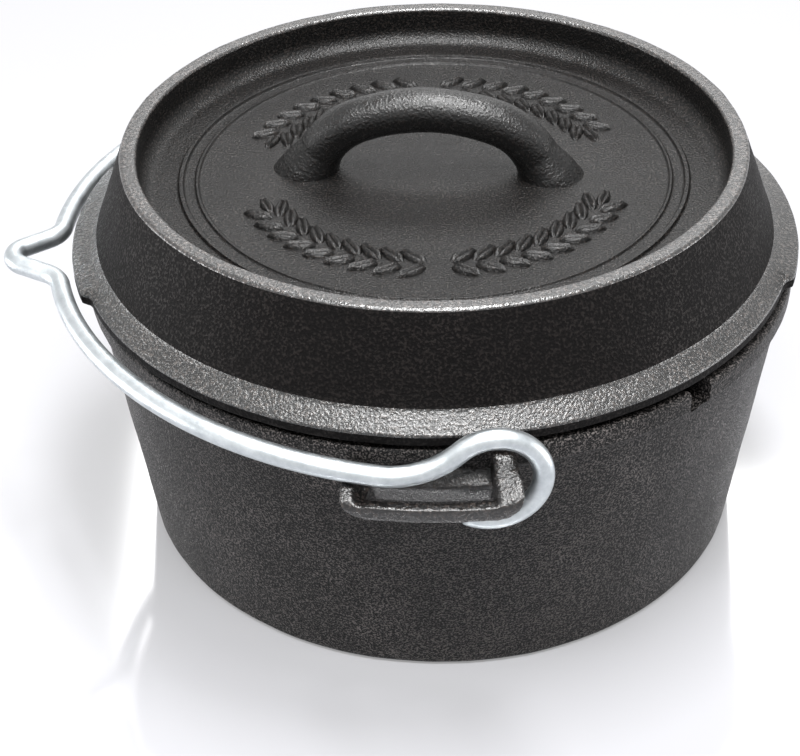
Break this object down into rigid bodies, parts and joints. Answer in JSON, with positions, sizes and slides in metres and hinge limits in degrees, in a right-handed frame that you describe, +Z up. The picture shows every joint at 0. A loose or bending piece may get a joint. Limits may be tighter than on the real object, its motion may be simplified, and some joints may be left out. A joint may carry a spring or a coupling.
{
  "type": "camp dutch oven",
  "caption": "Flat-bottomed cast-iron camp oven: leaning round pot with ears, loose flanged lid with coal tray, lifting tabs and loop handle, and a swinging wire bail with hooked ends.",
  "frame": {"origin": "on the ground, under the middle of the pot", "axes": "+Z up, the ears along Y with the pictured side at -Y, the bail lying towards -X"},
  "size_m": [0.1805, 0.1832, 0.1059],
  "materials": {
    "pot_iron": "sand-cast, seasoned, satin",
    "lid_iron": "sand-cast, seasoned, satin",
    "loop_iron": "smooth cast, seasoned, satin",
    "bail_zinc": "galvanised wire, satin"
  },
  "bodies": {
    "pot": {"pot": "pot_iron"},
    "lid": {"lid": "lid_iron", "lid_handle": "loop_iron"},
    "bail": {"bail": "bail_zinc"}
  },
  "joints": [
    {"name": "bail_swing", "type": "hinge", "parent": "pot", "child": "bail", "pos_m": [0, 0, 0.0636], "axis": [-0.1448, 0.9895, 0], "range_deg": [0, 166]},
    {"name": "lid_lift", "type": "slide", "parent": "pot", "child": "lid", "axis": [0, 0, 1], "range_m": [0, 0.12]}
  ]
}
